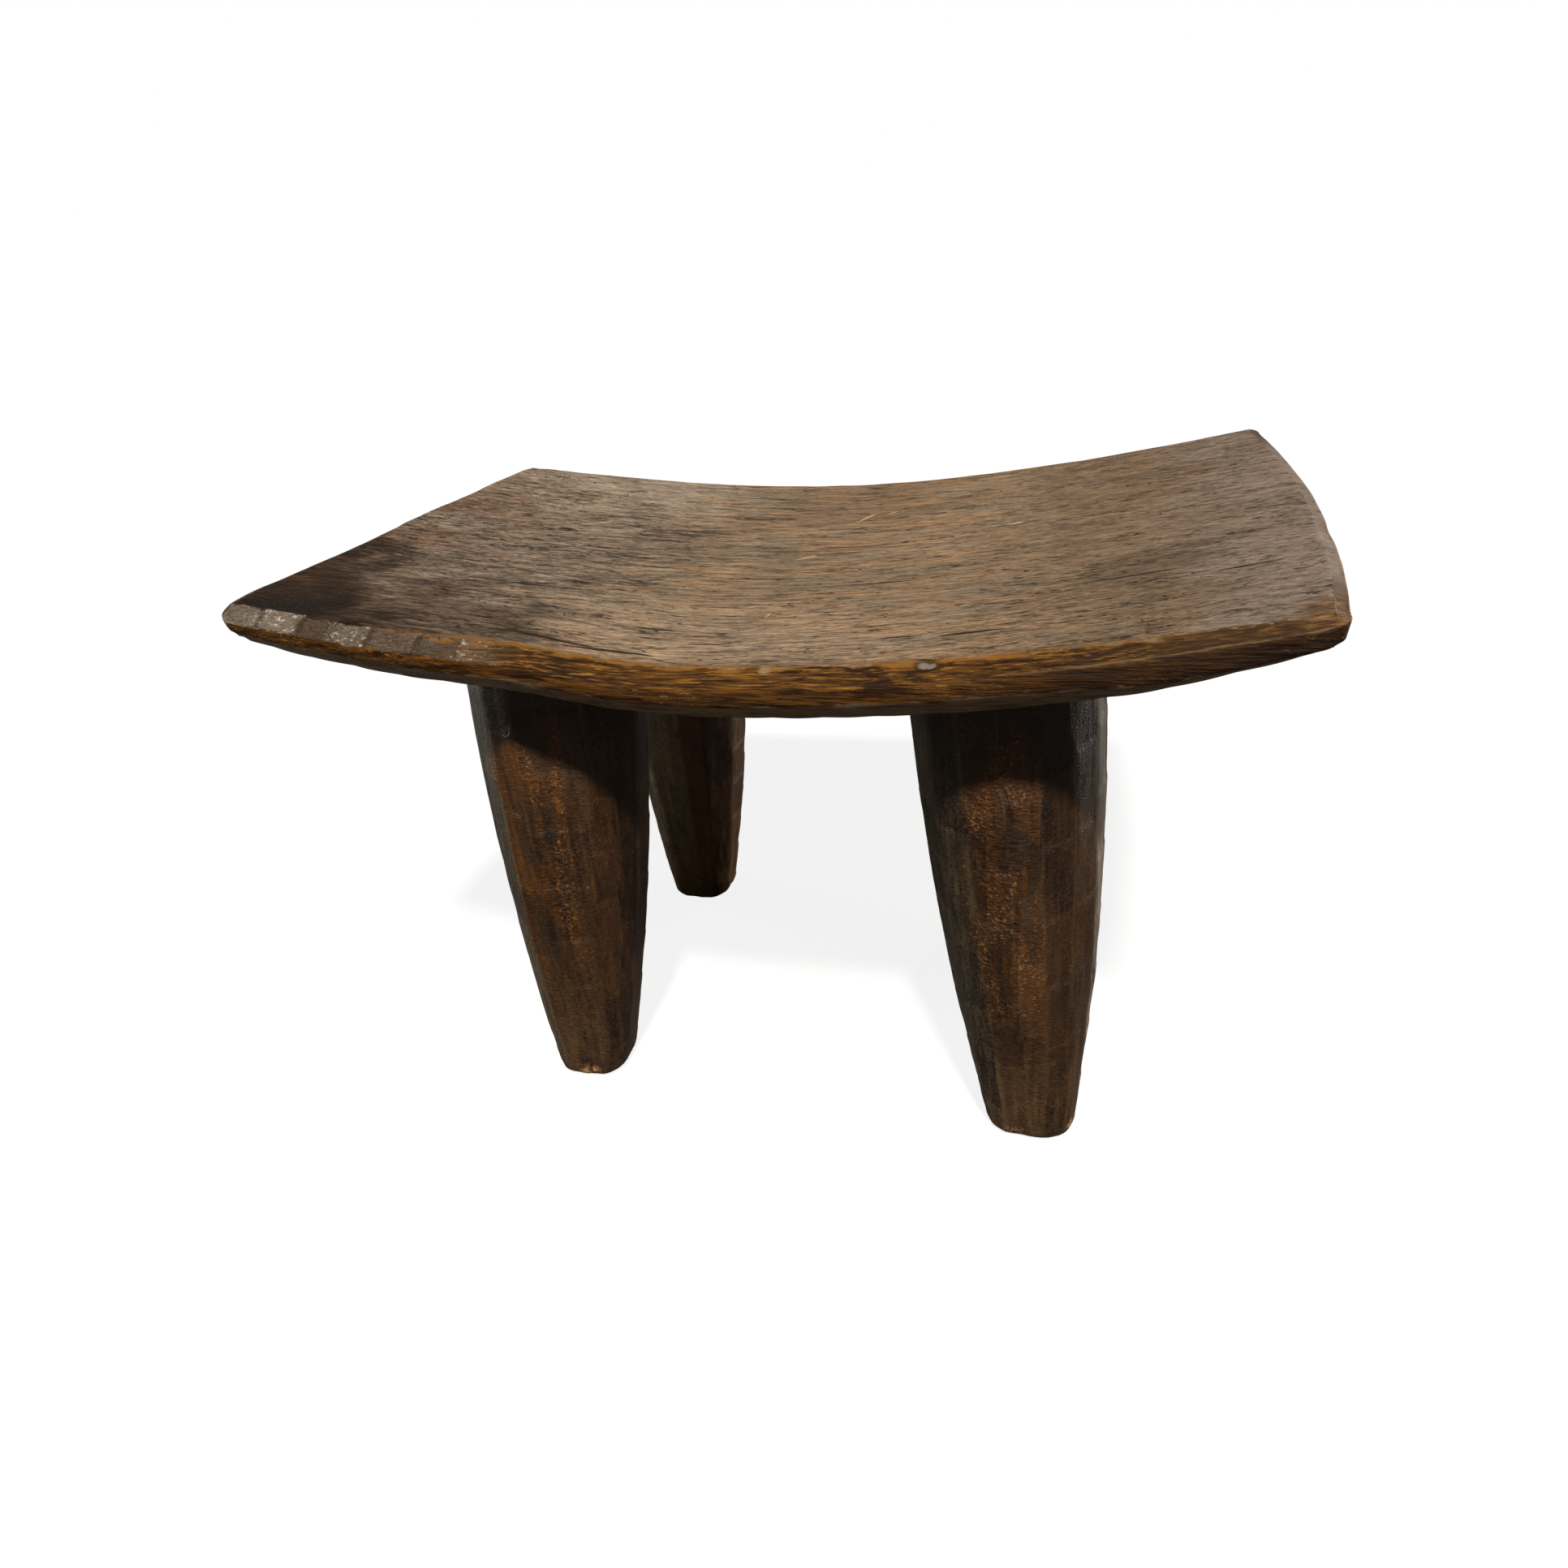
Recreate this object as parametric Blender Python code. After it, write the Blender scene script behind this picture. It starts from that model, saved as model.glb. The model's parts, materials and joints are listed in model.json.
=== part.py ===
"""A low dished wooden stool that also serves as a headrest, hewn from one block.

The block is divided where the grain of the form divides it: the dished seat slab and its
four stout, tapering, adze-faceted legs. Metres, +Z up. The origin is on the floor under
the middle of the seat, +X runs along the seat to its wider end and -Y faces the front.
"""

import math

import bmesh
import bpy
from mathutils import Vector

# Seat, seen in plan
SEAT_LENGTH = 0.5613  # between the ends, before they bulge or skew
SEAT_WIDTH = 0.366  # from corner to corner at mid-length, before the sides bow
SIDE_BOW = 0.012  # how far each long side bulges at mid-length
WIDTH_TAPER = 0.049  # share by which the +X end is wider and the -X end narrower
LEFT_BOW = 0.0053  # how far the -X end bulges at its middle
RIGHT_BOW = 0.0121  # how far the +X end bulges at its middle
BOW_POWER = 4  # keeps the end bulges close to the ends
LEFT_SKEW = 0.0065  # the -X end was cut aslant: its front corner stands out by this much
RIGHT_SKEW = 0.0012  # the same at the +X end, where the back corner stands out
SKEW_POWER = 3
SHIFT_X = -0.0024  # centres the whole outline on the origin

# Seat, seen from the side
END_HEIGHT = 0.361  # top of the seat at its ends
SAG = 0.0294  # how far the middle of the seat lies below its ends
SAG_POWER = 1.73
END_LIFT = 0.0048  # the +X end is higher, and the -X end lower, by this much
MIDDLE_THICKNESS = 0.0225
THICKNESS_LEAN = 0.002  # the slab is thicker towards +X by this much
END_THINNING = 0.0053
END_THINNING_LEAN = 0.0021
THINNING_POWER = 6
BELLY = 0.003  # extra depth of the slab along its centre line

# Edges of the slab
CHAMFER_WIDTH = 0.0155  # worn slope between the sitting face and the side ridge
CHAMFER_DROP = 0.0044
CHAMFER_NARROWING = 0.40  # share lost by the chamfer at the +X end
SIDE_FACE_SHARE = 0.50  # share of the slab's depth taken by the upright side face
SIDE_FACE_LEAN = 0.0015
UNDERCUT = 0.008  # how far the lowest facet slopes back under the slab
END_CHAMFER = 0.007
END_DROP = 0.0035
END_RISE = 0.003
CORNER_INSET = 0.004
STATIONS = 36  # sections along the slab
ACROSS = 10  # strips across the slab

# Legs: straight tapering lines between two levels, with a slight barrel swell
LEG_LEVEL = 0.280  # the height at which the upper centre and radius are given
UPPER_RADIUS = 0.0528
SWELL = 0.0050
FOOT_CHAMFER = 0.0058
FLARE_HEIGHT = 0.014  # the leg widens softly where it grows out of the slab
FLARE = 0.0025
RINGS = 9
CAP_RINGS = 3
GAP = 0.0005  # clear space left between a leg and the slab

# Each leg: its centres at the floor and at LEG_LEVEL, the radius of its foot, and the
# directions of the corners between its hewn facets, in degrees
LEGS = {
    "leg_front_left": {
        "foot": (-0.1523, -0.1063),
        "upper": (-0.1334, -0.0962),
        "foot_radius": 0.0256,
        "corners": (12, 38, 65, 92, 120, 150, 180, 212, 244, 267, 307, 329, 350),
    },
    "leg_front_right": {
        "foot": (0.1485, -0.1077),
        "upper": (0.1324, -0.0962),
        "foot_radius": 0.0289,
        "corners": (5, 30, 57, 84, 110, 136, 162, 192, 223, 246, 273, 292, 315, 338),
    },
    "leg_back_left": {
        "foot": (-0.1460, 0.1070),
        "upper": (-0.1334, 0.0981),
        "foot_radius": 0.0255,
        "corners": (12, 40, 68, 99, 127, 158, 184, 216, 243, 274, 303, 338),
    },
    "leg_back_right": {
        "foot": (0.1485, 0.1070),
        "upper": (0.1324, 0.0981),
        "foot_radius": 0.0262,
        "corners": (6, 35, 66, 93, 125, 153, 182, 209, 240, 271, 300, 334),
    },
}


def material(name, colour, roughness):
    """A plain wood finish."""
    finish = bpy.data.materials.new(name)
    finish.use_nodes = True
    shader = finish.node_tree.nodes["Principled BSDF"]
    shader.inputs["Base Color"].default_value = (*colour, 1.0)
    shader.inputs["Roughness"].default_value = roughness
    shader.inputs["Metallic"].default_value = 0.0
    return finish


def half_width(u):
    """Half the width of the slab at u, which runs from -1 to 1 along it."""
    return SEAT_WIDTH / 2 * (1 + WIDTH_TAPER * u) + SIDE_BOW * (1 - u * u)


def top_height(u):
    """Height of the dished sitting face."""
    return END_HEIGHT - SAG + SAG * abs(u) ** SAG_POWER + END_LIFT * u


def thickness(u, t):
    """Depth of the slab at u along it and t across it."""
    thinning = (END_THINNING + END_THINNING_LEAN * u) * abs(u) ** THINNING_POWER
    return MIDDLE_THICKNESS + THICKNESS_LEAN * u - thinning + BELLY * (1 - t * t) * (1 - u * u)


def plan_x(u, t):
    """X of a point at u along the slab and t across it, with its bulging, skewed ends."""
    bow, skew = (RIGHT_BOW, RIGHT_SKEW) if u > 0 else (LEFT_BOW, LEFT_SKEW)
    bulge = math.copysign(bow, u) * (1 - t * t) * abs(u) ** BOW_POWER
    return SHIFT_X + u * SEAT_LENGTH / 2 + bulge + skew * t * abs(u) ** SKEW_POWER


def seat_section(u, shrink):
    """One closed section of the slab: upper row, then lower row, each running front to back."""
    width = half_width(u) - shrink * CORNER_INSET
    top = top_height(u) - shrink * END_DROP
    narrowing = 1 - CHAMFER_NARROWING * max(u, 0) ** 2
    chamfer = CHAMFER_WIDTH * narrowing
    drop = CHAMFER_DROP * narrowing
    edge_depth = thickness(u, 1) - shrink * (END_DROP + END_RISE)
    side_face = SIDE_FACE_SHARE * (edge_depth - drop)

    inner = width - chamfer
    lower = width - UNDERCUT
    upper_row = [(-width, top - drop)]
    lower_row = [(-width + SIDE_FACE_LEAN, top - drop - side_face)]
    for k in range(ACROSS + 1):
        t = -1 + 2 * k / ACROSS
        upper_row.append((t * inner, top))
        depth = thickness(u, t) - shrink * (END_DROP + END_RISE)
        lower_row.append((t * lower, top - depth))
    upper_row.append((width, top - drop))
    lower_row.append((width - SIDE_FACE_LEAN, top - drop - side_face))
    return [[Vector((plan_x(u, y / width), y, z)) for y, z in row] for row in (upper_row, lower_row)]


def solid(name, points, faces, finish):
    """A closed object from shared points and faces, with its faces turned outwards."""
    mesh = bpy.data.meshes.new(name)
    mesh.from_pydata(points, [], faces)
    shape = bmesh.new()
    shape.from_mesh(mesh)
    bmesh.ops.triangulate(shape, faces=shape.faces)
    bmesh.ops.recalc_face_normals(shape, faces=shape.faces)
    shape.to_mesh(mesh)
    shape.free()
    mesh.materials.append(finish)
    mesh.shade_smooth()
    mesh.set_sharp_from_angle(angle=math.radians(12))
    piece = bpy.data.objects.new(name, mesh)
    bpy.context.scene.collection.objects.link(piece)
    return piece


def build_seat(finish):
    """The dished slab, lofted through its sections and closed by ladder-like end faces."""
    inset = 2 * END_CHAMFER / SEAT_LENGTH
    stations = [(-1.0, 1.0)]
    for k in range(STATIONS + 1):
        stations.append(((1 - inset) * (-1 + 2 * k / STATIONS), 0.0))
    stations.append((1.0, 1.0))

    points = []
    for u, shrink in stations:
        upper, lower = seat_section(u, shrink)
        points += upper + lower
    row = ACROSS + 3
    loop = list(range(row)) + list(range(2 * row - 1, row - 1, -1))
    faces = []
    for s in range(len(stations) - 1):
        here = s * 2 * row
        there = here + 2 * row
        for a, b in zip(loop, loop[1:] + loop[:1]):
            faces.append((here + a, there + a, there + b, here + b))
    for end in (0, (len(stations) - 1) * 2 * row):
        for k in range(row - 1):
            faces.append((end + k, end + k + 1, end + row + k + 1, end + row + k))
    return solid("seat", points, faces, finish)


def underside(x, y):
    """Height of the slab's underside above a place on the floor."""
    u = (x - SHIFT_X) / (SEAT_LENGTH / 2)
    t = y / (half_width(u) - UNDERCUT)
    return top_height(u) - thickness(u, t)


def build_leg(name, finish):
    """One barrel-tapered leg with flat facets, a rounded flat foot and a flare at the slab."""
    leg = LEGS[name]
    foot_centre = Vector(leg["foot"])
    upper_centre = Vector(leg["upper"])
    foot_radius = leg["foot_radius"]
    turns = [math.radians(c) for c in leg["corners"]]

    def ring(level, change, share=1.0):
        k = level / LEG_LEVEL
        centre = foot_centre.lerp(upper_centre, k)
        radius = foot_radius + (UPPER_RADIUS - foot_radius) * k + SWELL * 4 * k * (1 - k) + change
        out = radius * share
        return [(centre.x + out * math.cos(a), centre.y + out * math.sin(a)) for a in turns]

    summit = underside(*upper_centre) - GAP
    shoulder = summit - FLARE_HEIGHT
    rings = [[Vector((x, y, 0.0)) for x, y in ring(0.0, -FOOT_CHAMFER)]]
    for k in range(RINGS):
        level = FOOT_CHAMFER + (shoulder - FOOT_CHAMFER) * k / (RINGS - 1)
        rings.append([Vector((x, y, level)) for x, y in ring(level, 0.0)])
    for k in range(CAP_RINGS):
        places = ring(summit, FLARE, 1 - k / CAP_RINGS)
        rings.append([Vector((x, y, underside(x, y) - GAP)) for x, y in places])

    count = len(turns)
    points = [p for loop in rings for p in loop]
    middle = foot_centre.lerp(upper_centre, summit / LEG_LEVEL)
    points.append(Vector((middle.x, middle.y, underside(middle.x, middle.y) - GAP)))
    faces = [tuple(range(count))]
    for r in range(len(rings) - 1):
        for k in range(count):
            nxt = (k + 1) % count
            faces.append((r * count + k, r * count + nxt, (r + 1) * count + nxt, (r + 1) * count + k))
    last = (len(rings) - 1) * count
    for k in range(count):
        faces.append((last + k, last + (k + 1) % count, len(points) - 1))
    return solid(name, points, faces, finish)


def main():
    for old in list(bpy.data.objects):
        bpy.data.objects.remove(old, do_unlink=True)
    build_seat(material("seat_wood", (0.150, 0.098, 0.060), 0.45))
    for name in LEGS:
        build_leg(name, material(name + "_wood", (0.050, 0.026, 0.012), 0.40))


main()
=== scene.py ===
"""Visual model of a low carved stool that also serves as a headrest.

The slab and the four legs replace their CAD solids one for one. Each is a dense closed
mesh, hewn in code: worn chamfers, adze facets, dents and ripples. The wood is procedural.
"""

import json
import math
from types import SimpleNamespace

import bpy
import numpy as np
from mathutils import Matrix, Vector


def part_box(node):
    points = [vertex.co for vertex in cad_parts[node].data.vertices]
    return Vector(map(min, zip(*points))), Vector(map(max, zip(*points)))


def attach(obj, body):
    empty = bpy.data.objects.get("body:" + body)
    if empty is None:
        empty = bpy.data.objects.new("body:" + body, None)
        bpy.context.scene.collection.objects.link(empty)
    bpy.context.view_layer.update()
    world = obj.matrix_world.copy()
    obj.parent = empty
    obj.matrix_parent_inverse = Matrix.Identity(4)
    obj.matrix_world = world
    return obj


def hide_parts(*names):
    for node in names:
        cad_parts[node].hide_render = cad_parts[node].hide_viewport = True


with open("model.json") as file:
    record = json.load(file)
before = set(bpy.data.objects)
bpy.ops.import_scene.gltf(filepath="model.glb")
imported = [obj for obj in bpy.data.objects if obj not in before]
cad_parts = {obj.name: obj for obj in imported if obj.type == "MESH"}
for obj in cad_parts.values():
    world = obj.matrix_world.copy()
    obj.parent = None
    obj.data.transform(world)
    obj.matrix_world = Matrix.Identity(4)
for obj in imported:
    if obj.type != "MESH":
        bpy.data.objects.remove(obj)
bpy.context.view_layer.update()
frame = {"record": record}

# ---------------------------------------------------------------- the frame's measures
SEAT_LOW, SEAT_HIGH = (np.array(corner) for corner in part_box("seat"))
FEET = {
    mount["name"].replace("foot_", "leg_"): np.array(mount["pos_m"])
    for mount in frame["record"]["mounts"]
}

# Slab in plan
SEAT_LENGTH = 0.9666 * (SEAT_HIGH[0] - SEAT_LOW[0])
SHIFT_X = (SEAT_HIGH[0] + SEAT_LOW[0]) / 2 - 0.0024
LEFT_BOW, RIGHT_BOW, BOW_POWER = 0.0053, 0.0121, 4
LEFT_SKEW, RIGHT_SKEW, SKEW_POWER = 0.0065, 0.0012, 3
SEAT_WIDTH = 0.9306 * (SEAT_HIGH[1] - SEAT_LOW[1])
SIDE_BOW = 0.012
WIDTH_TAPER = 0.049

# Slab in profile
END_LIFT = 0.0048
END_HEIGHT = SEAT_HIGH[2] - 0.0034
SAG = 0.0294
SAG_POWER = 1.73
MIDDLE_THICKNESS = 0.0225
THICKNESS_LEAN = 0.002
END_THINNING = 0.0053
END_THINNING_LEAN = 0.0021
THINNING_POWER = 6
BELLY = 0.003
EDGE_LIFT = 0.0048  # the front edge was left higher towards the -X end, by this much
EDGE_LIFT_AT_CORNER = 0.45  # the share of that lift which is left at the corner itself
LIFTED_THICKER = 0.0036  # the slab is thicker under that lifted edge
RIGHT_THINNER = 0.0028  # and thinner at the +X end

# Slab edges, as worn
CHAMFER_WIDTH = 0.0155
CHAMFER_DROP = 0.0046
CHAMFER_NARROWING = 0.40
LEFT_CHAMFER_NARROWER = 0.0055
LEFT_CHAMFER_DEEPER = 0.0026
SIDE_FACE_SHARE = 0.50
FULLER_END = 0.28  # the side face takes this much more of the depth at the +X end
SIDE_FACE_LEAN = 0.0015
UNDERCUT = 0.008
END_CHAMFER = 0.0055
END_DROP = 0.0036
END_LEAN = (0.0, 0.001, 0.004)  # how far in an end lies at the ridge, the side and the bottom
CORNER_RADIUS = 0.009
BACK_LEFT_ROUNDER = 0.014  # added to that radius at the corner of -X and +Y
CORNER_FULLNESS = 0.0016  # the -X end bulges a little just behind its front corner
FULLNESS_Y, FULLNESS_WIDTH = -0.135, 0.024
ALONG, ACROSS = 270, 150
RIM_ROWS = (6, 4, 4)  # rows on the chamfer, on the side face and on the undercut

# Legs
LEG_LEVEL = 0.280
UPPER_RADIUS = 0.0528
SWELL = 0.0050
FOOT_ROUND = 0.0064
FOOT_SQUARE = 0.055  # how far the lowest part of a leg goes from round towards square
SQUARE_HEIGHT = 0.13
FILLET = 0.007
SINK = 0.002  # how far a leg's top goes into the slab, so that no gap shows
LEG_COLUMNS, LEG_ROWS, SOLE_ROWS = 180, 150, 5
LEGS = {  # the centre at LEG_LEVEL and the radius of the foot
    "leg_front_left": ((-0.1334, -0.0962), 0.0256),
    "leg_front_right": ((0.1324, -0.0962), 0.0289),
    "leg_back_left": ((-0.1334, 0.0981), 0.0255),
    "leg_back_right": ((0.1324, 0.0981), 0.0262),
}
FACET_CORNERS = {
    "leg_front_left": (12, 38, 65, 92, 120, 150, 180, 212, 244, 267, 307, 329, 350),
    "leg_front_right": (5, 30, 57, 84, 110, 136, 162, 192, 223, 246, 273, 292, 315, 338),
    "leg_back_left": (12, 40, 68, 99, 127, 158, 184, 216, 243, 274, 303, 338),
    "leg_back_right": (6, 35, 66, 93, 125, 153, 182, 209, 240, 271, 300, 334),
}


# ---------------------------------------------------------------- numbers
def smooth(low, high, value):
    """0 below low, 1 above high, and a soft step between."""
    t = np.clip((value - low) / (high - low), 0.0, 1.0)
    return t * t * (3 - 2 * t)


def lattice_noise(points, size, seed):
    """Soft noise from -1 to 1 with features of about size, which may differ by axis."""
    cells = 32
    table = np.random.default_rng(seed).uniform(-1, 1, (cells, cells, cells))
    at = points / np.asarray(size) + 7.31
    low = np.floor(at).astype(int)
    t = at - low
    t = t * t * t * (t * (6 * t - 15) + 10)
    total = np.zeros(len(points))
    for dx in (0, 1):
        for dy in (0, 1):
            for dz in (0, 1):
                corner = table[(low[:, 0] + dx) % cells, (low[:, 1] + dy) % cells, (low[:, 2] + dz) % cells]
                share = np.where(dx, t[:, 0], 1 - t[:, 0])
                share = share * np.where(dy, t[:, 1], 1 - t[:, 1])
                share = share * np.where(dz, t[:, 2], 1 - t[:, 2])
                total += share * corner
    return total


def layered_noise(points, size, seed, octaves=3):
    """Several octaves of lattice_noise, each half as large and half as strong."""
    size = np.asarray(size, float)
    total = np.zeros(len(points))
    strength = 1.0
    for octave in range(octaves):
        total += strength * lattice_noise(points, size / 2**octave, seed + octave)
        strength /= 2
    return total


def vertex_normals(points, quads):
    """Area-weighted normals of a mesh of quads."""
    a, b, c, d = (points[quads[:, k]] for k in range(4))
    face = np.cross(c - a, d - b)
    normals = np.zeros_like(points)
    for k in range(4):
        np.add.at(normals, quads[:, k], face)
    return normals / np.maximum(np.linalg.norm(normals, axis=1, keepdims=True), 1e-12)


def dented(points, normals, dents):
    """The points with shallow round dents pressed in: (centre, radius, depth) of each."""
    for centre, radius, depth in dents:
        distance = np.linalg.norm(points - np.array(centre), axis=1)
        points = points - normals * (depth * np.exp(-((distance / radius) ** 2)))[:, None]
    return points


def new_piece(name, points, faces, tags, slot, material):
    """A smooth-shaded object with named values on its vertices, standing for its CAD node."""
    mesh = bpy.data.meshes.new(name)
    mesh.from_pydata(points.tolist(), [], faces)
    for tag, values in tags.items():
        layer = mesh.attributes.new(tag, "FLOAT", "POINT")
        layer.data.foreach_set("value", values.astype(np.float32))
    mesh.shade_smooth()
    mesh.materials.append(material)
    piece = bpy.data.objects.new(name + "_wood", mesh)
    bpy.context.scene.collection.objects.link(piece)
    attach(piece, "root")
    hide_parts(name)
    return piece


# ---------------------------------------------------------------- the slab's form
# In these functions u runs from -1 to 1 along the slab and t from -1 to 1 across it.
def half_width(u):
    return SEAT_WIDTH / 2 * (1 + WIDTH_TAPER * u) + SIDE_BOW * (1 - u * u)


def top_height(u, y):
    """Height of the dished sitting face, with its front edge lifted towards the -X end."""
    along = smooth(-0.10, -0.42, u) * (1 - (1 - EDGE_LIFT_AT_CORNER) * smooth(-0.72, -1.0, u))
    lift = EDGE_LIFT * along * smooth(-0.02, -0.15, y)
    return END_HEIGHT - SAG + SAG * np.abs(u) ** SAG_POWER + END_LIFT * u + lift


def thickness(u, t):
    """Depth of the slab, which is thinner at its ends and thicker under the lifted edge."""
    thinning = (END_THINNING + END_THINNING_LEAN * u) * np.abs(u) ** THINNING_POWER
    thinning += RIGHT_THINNER * smooth(0.68, 0.88, u)
    thicker = smooth(-0.35, -0.72, u) * (1 - 0.5 * smooth(-0.80, -1.0, u))
    thinning -= LIFTED_THICKER * thicker * smooth(0.0, -0.8, t)
    return MIDDLE_THICKNESS + THICKNESS_LEAN * u - thinning + BELLY * (1 - t * t) * (1 - u * u)


def underside(x, y):
    """Height of the slab's underside above a place on the floor."""
    u = (x - SHIFT_X) / (SEAT_LENGTH / 2)
    return top_height(u, y) - thickness(u, y / (half_width(u) - UNDERCUT))


def box_lattice(nx, ny, nz):
    """The surface of a box of cells: each vertex's three indices, and the outward quads."""
    ids = -np.ones((nx + 1, ny + 1, nz + 1), int)
    shell = np.zeros(ids.shape, bool)
    for axis in range(3):
        face = [slice(None)] * 3
        for end in (0, -1):
            face[axis] = end
            shell[tuple(face)] = True
    places = np.argwhere(shell)
    ids[tuple(places.T)] = np.arange(len(places))

    quads = []
    for axis in range(3):
        for end, turned in ((0, True), (-1, False)):
            sheet = np.moveaxis(ids, axis, 0)[end]
            a, b, c, d = sheet[:-1, :-1], sheet[1:, :-1], sheet[1:, 1:], sheet[:-1, 1:]
            quad = np.stack([a, b, c, d], -1).reshape(-1, 4)
            flip = turned != (axis == 1)
            quads.append(quad[:, ::-1] if flip else quad)
    return places, np.concatenate(quads)


def rim_profile(row, stops):
    """Piecewise-linear value at a rim row, from its values at the top edge, ridge, side and bottom."""
    marks = np.cumsum((0,) + RIM_ROWS)
    return sum(
        (stops[k] + (stops[k + 1] - stops[k]) * (row - marks[k]) / RIM_ROWS[k])
        * ((row >= marks[k]) & ((row < marks[k + 1]) if k < 2 else True))
        for k in range(3)
    )


def slab_shape():
    """The slab before hewing: points, quads, each point's girth and whether it is on an end.

    The girth says how far round the slab a point lies: below 0 on the top, 0 to 1 on the
    chamfer, 1 to 2 on the side face, 2 to 3 on the undercut and above 3 on the underside.
    """
    rows = sum(RIM_ROWS)
    places, quads = box_lattice(ALONG, ACROSS, rows)
    a = 2 * places[:, 0] / ALONG - 1
    b = 2 * places[:, 1] / ACROSS - 1
    row = rows - places[:, 2]

    end_in = rim_profile(row, (END_CHAMFER, *END_LEAN))
    bow = np.where(a > 0, RIGHT_BOW, LEFT_BOW)
    x_flat = a * (SEAT_LENGTH / 2 - end_in)
    u = x_flat / (SEAT_LENGTH / 2)
    narrowing = 1 - CHAMFER_NARROWING * np.clip(u, 0, 1) ** 2
    steeper = smooth(-0.30, -0.75, u)
    chamfer = CHAMFER_WIDTH * narrowing - LEFT_CHAMFER_NARROWER * steeper
    drop = CHAMFER_DROP * narrowing + LEFT_CHAMFER_DEEPER * steeper
    edge_depth = thickness(u, np.sign(b))
    side_face = (SIDE_FACE_SHARE + FULLER_END * smooth(0.45, 0.95, u)) * (edge_depth - drop)

    width = half_width(u)
    inset = rim_profile(row, (chamfer, 0.0, SIDE_FACE_LEAN, UNDERCUT))
    y = b * (width - inset)
    depth = thickness(u, b)
    side_drop = rim_profile(row, (0.0, drop, drop + side_face, depth))
    end_drop = rim_profile(row, (0.0, END_DROP, END_DROP + 0.5 * (depth - END_DROP), depth))
    near_side = smooth(0.9, 1.0, np.abs(b))
    on_end = np.isclose(np.abs(a), 1)
    fall = np.where(on_end, end_drop + (side_drop - end_drop) * near_side, side_drop)
    x = x_flat + np.sign(a) * bow * (1 - b * b) * np.abs(u) ** BOW_POWER
    skew = np.where(a > 0, RIGHT_SKEW, LEFT_SKEW)

    # round the corners in plan
    limit = SEAT_LENGTH / 2 + bow * (1 - b * b)
    radius = CORNER_RADIUS + np.where((a < 0) & (b > 0), BACK_LEFT_ROUNDER, 0.0)
    radius = radius + rim_profile(row, (0.0, *END_LEAN))
    px = radius - (limit - np.abs(x))
    py = radius - (width - np.abs(y))
    both = (px > 0) & (py > 0)
    reach = np.where(both, np.maximum(px, py) / np.maximum(np.hypot(px, py), 1e-9), 1.0)
    x -= np.sign(x) * np.where(both, px * (1 - reach), 0)
    y -= np.sign(y) * np.where(both, py * (1 - reach), 0)

    x += SHIFT_X + skew * (y / width) * np.abs(u) ** SKEW_POWER
    swelling = np.exp(-(((y - FULLNESS_Y) / FULLNESS_WIDTH) ** 2)) * np.abs(u) ** 8
    x -= np.where(a < 0, CORNER_FULLNESS * swelling, 0.0)
    points = np.stack([x, y, top_height(u, y) - fall], 1)
    to_side = (width - chamfer) * (1 - np.abs(b)) / CHAMFER_WIDTH
    to_end = (SEAT_LENGTH / 2 - END_CHAMFER) * (1 - np.abs(a)) / CHAMFER_WIDTH
    inward = np.minimum(to_side, to_end)
    round_rim = rim_profile(row, (0.0, 1.0, 2.0, 3.0))
    girth = np.where(row == 0, -inward, np.where(row == rows, 3 + inward, round_rim))
    return points, quads, girth, on_end


SLAB_DENTS = (  # the centre, radius and depth of each
    ((0.105, -0.183, 0.340), 0.005, 0.0022),  # the nick on the front chamfer
    ((0.026, -0.181, 0.332), 0.004, 0.0009),
    ((0.072, -0.189, 0.326), 0.008, 0.0016),
    ((-0.096, -0.189, 0.327), 0.006, 0.0010),
    ((0.269, -0.172, 0.362), 0.012, 0.0012),  # the worn front right corner
    ((0.283, -0.060, 0.360), 0.014, 0.0008),
    ((-0.10, 0.192, 0.334), 0.012, 0.0012),
    ((0.16, 0.196, 0.345), 0.010, 0.0012),
)


# The front chamfer's adze cuts: the borders between them along X, and how each one tilts
CUT_BORDERS_LEFT = (-0.290, -0.260, -0.234, -0.211, -0.190, -0.160, -0.138, -0.105)
CUT_BORDERS = (*CUT_BORDERS_LEFT, -0.06, 0.0, 0.05, 0.12, 0.17, 0.23, 0.3)
CUT_TILTS = (0.9, -0.7, 1.0, -0.9, 1.1, -0.6, 0.7, -0.4, 0.3, -0.5, 0.5, -0.3, 0.4, -0.4)
CUT_DEPTH = 0.0017
CUT_HOLLOW = 0.9  # how much a cut is scooped, beside its tilt
CUT_FADE = 0.35  # the share of the depth which is left away from the -X end
CUT_BORDER_SLANT = 0.003  # how far a border between cuts strays as it runs down the chamfer
SEAM_WIDTH = 0.0016  # of the dark line between two cuts

# Unevenness of each part of the slab: its height, and the size of its features
TOP_WAVES = (0.00045, (0.075, 0.030, 0.05))
TOP_RIPPLES = (0.00050, (0.034, 0.0065, 0.05))
CHAMFER_WAVES = (0.0004, (0.030, 0.010, 0.010))
SIDE_WAVES = (0.0007, (0.045, 0.010, 0.009))
END_WAVES = (0.0005, (0.030, 0.045, 0.030))
BOTTOM_WAVES = (0.0006, (0.05, 0.03, 0.05))
BOTTOM_ROWS = (0.0007, 0.026)  # height and width of the scooped rows on the underside


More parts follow.
